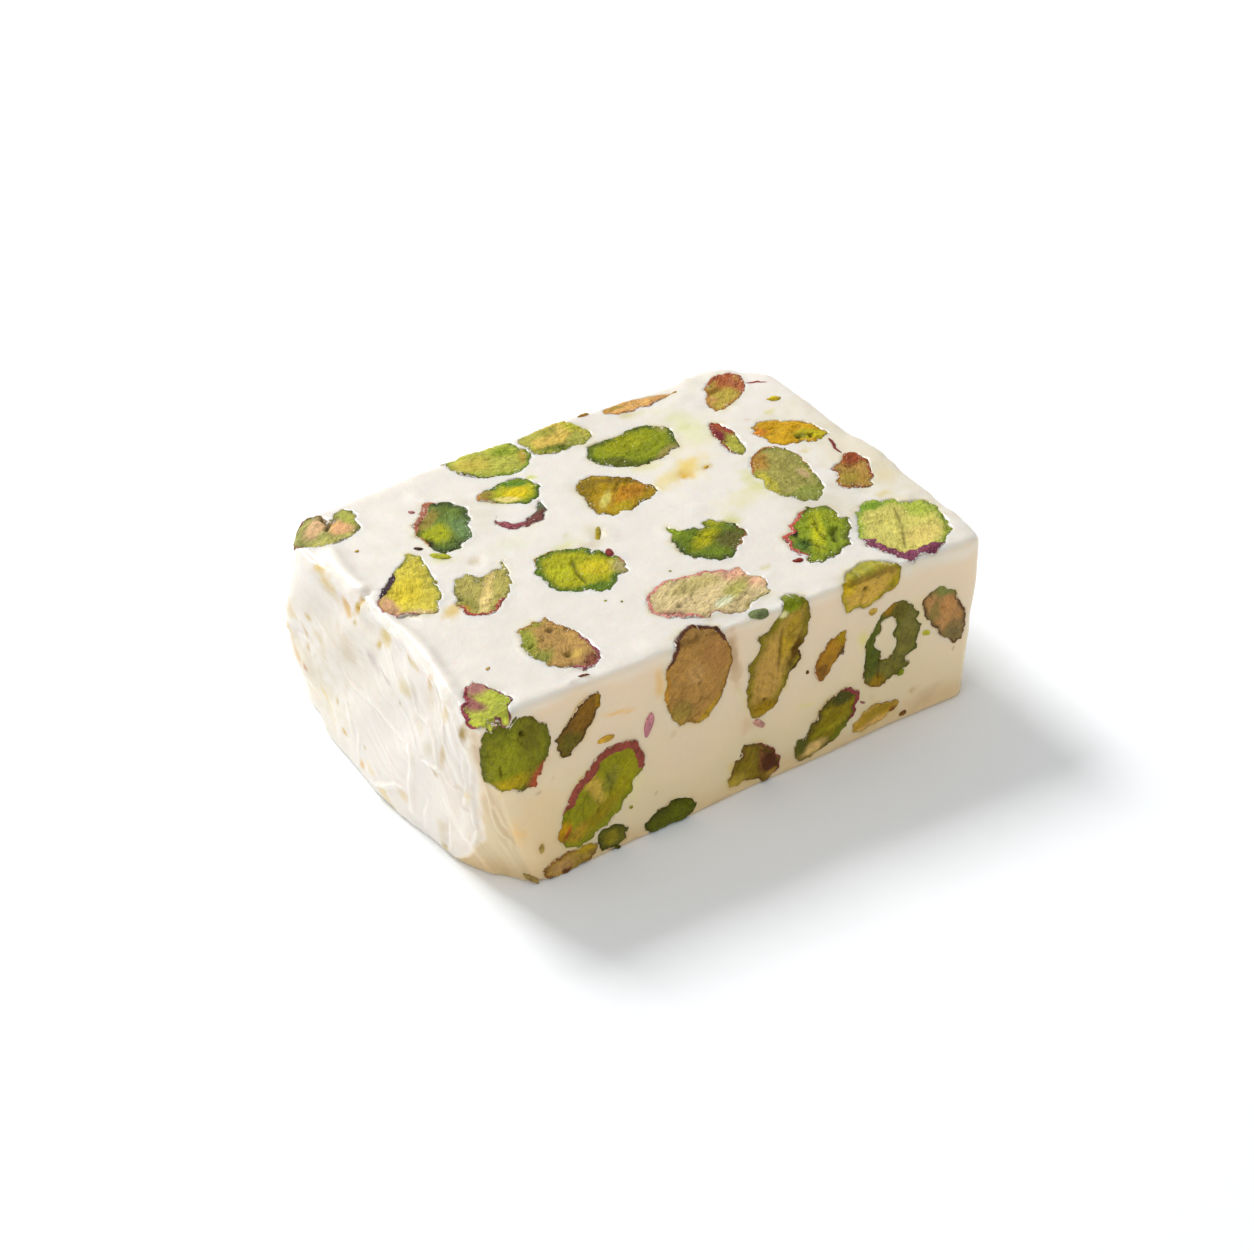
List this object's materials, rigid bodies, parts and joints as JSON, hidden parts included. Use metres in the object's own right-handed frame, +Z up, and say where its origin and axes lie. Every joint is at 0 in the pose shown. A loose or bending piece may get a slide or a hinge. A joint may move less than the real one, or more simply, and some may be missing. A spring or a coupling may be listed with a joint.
{
  "type": "nougat bar",
  "caption": "Block of soft white nougat with whole pistachios sliced flush on its cut faces, one end torn and stretched into folds.",
  "frame": {"origin": "middle of the bar's bounding box, on the plane it lies on", "axes": "+X along the bar's length away from the torn end, +Z up through its thickness"},
  "size_m": [0.0658, 0.0478, 0.0212],
  "materials": {
    "nougat": "satin, soft and slightly translucent",
    "pistachio_green": "fresh green cut pistachio, moist and finely grained",
    "pistachio_lime": "yellow-green cut pistachio, moist and finely grained",
    "pistachio_deep": "dark green cut pistachio, moist and finely grained",
    "pistachio_olive": "olive cut pistachio, moist and finely grained",
    "pistachio_pale": "pale olive cut pistachio, moist and finely grained",
    "pistachio_golden": "golden cut pistachio, moist and finely grained",
    "pistachio_brown": "brown cut pistachio, moist and finely grained",
    "pistachio_skin": "pistachio skin, purple-brown, moist and finely grained",
    "pistachio_tan": "tan cut pistachio, moist and finely grained"
  },
  "bodies": {
    "root": {"nougat": "nougat", "pistachio_top_01": "pistachio_olive", "pistachio_top_02": "pistachio_deep", "pistachio_top_03": "pistachio_lime", "pistachio_top_04": "pistachio_skin", "pistachio_top_05": "pistachio_lime", "pistachio_top_06": "pistachio_pale", "pistachio_top_07": "pistachio_green", "pistachio_top_08": "pistachio_golden", "pistachio_top_09": "pistachio_tan", "pistachio_top_10": "pistachio_brown", "pistachio_top_11": "pistachio_skin", "pistachio_top_12": "pistachio_golden", "pistachio_top_13": "pistachio_olive", "pistachio_top_14": "pistachio_brown", "pistachio_top_15": "pistachio_green", "pistachio_top_16": "pistachio_green", "pistachio_top_17": "pistachio_lime", "pistachio_top_18": "pistachio_lime", "pistachio_top_19": "pistachio_pale", "pistachio_top_20": "pistachio_brown", "pistachio_top_21": "pistachio_pale", "pistachio_top_22": "pistachio_lime", "pistachio_top_23": "pistachio_skin", "pistachio_edge_01": "pistachio_golden", "pistachio_front_01": "pistachio_green", "pistachio_front_02": "pistachio_deep", "pistachio_front_03": "pistachio_green", "pistachio_front_04": "pistachio_deep", "pistachio_front_05": "pistachio_deep", "pistachio_front_06": "pistachio_olive", "pistachio_front_07": "pistachio_brown", "pistachio_front_08": "pistachio_golden", "pistachio_front_09": "pistachio_brown", "pistachio_front_10": "pistachio_deep", "pistachio_front_11": "pistachio_deep", "pistachio_front_12": "pistachio_deep", "pistachio_front_13": "pistachio_brown", "pistachio_front_14": "pistachio_pale", "pistachio_back_01": "pistachio_olive", "pistachio_back_02": "pistachio_green", "pistachio_back_03": "pistachio_green", "pistachio_back_04": "pistachio_golden", "pistachio_back_05": "pistachio_golden", "pistachio_back_06": "pistachio_lime", "pistachio_back_07": "pistachio_golden", "pistachio_back_08": "pistachio_deep", "pistachio_far_01": "pistachio_golden", "pistachio_far_02": "pistachio_olive", "pistachio_far_03": "pistachio_pale", "pistachio_far_04": "pistachio_lime", "pistachio_far_05": "pistachio_olive", "pistachio_far_06": "pistachio_pale", "pistachio_base_01": "pistachio_golden", "pistachio_base_02": "pistachio_lime", "pistachio_base_03": "pistachio_brown", "pistachio_base_04": "pistachio_pale", "pistachio_base_05": "pistachio_green", "pistachio_base_06": "pistachio_olive", "pistachio_base_07": "pistachio_lime"}
  },
  "joints": []
}
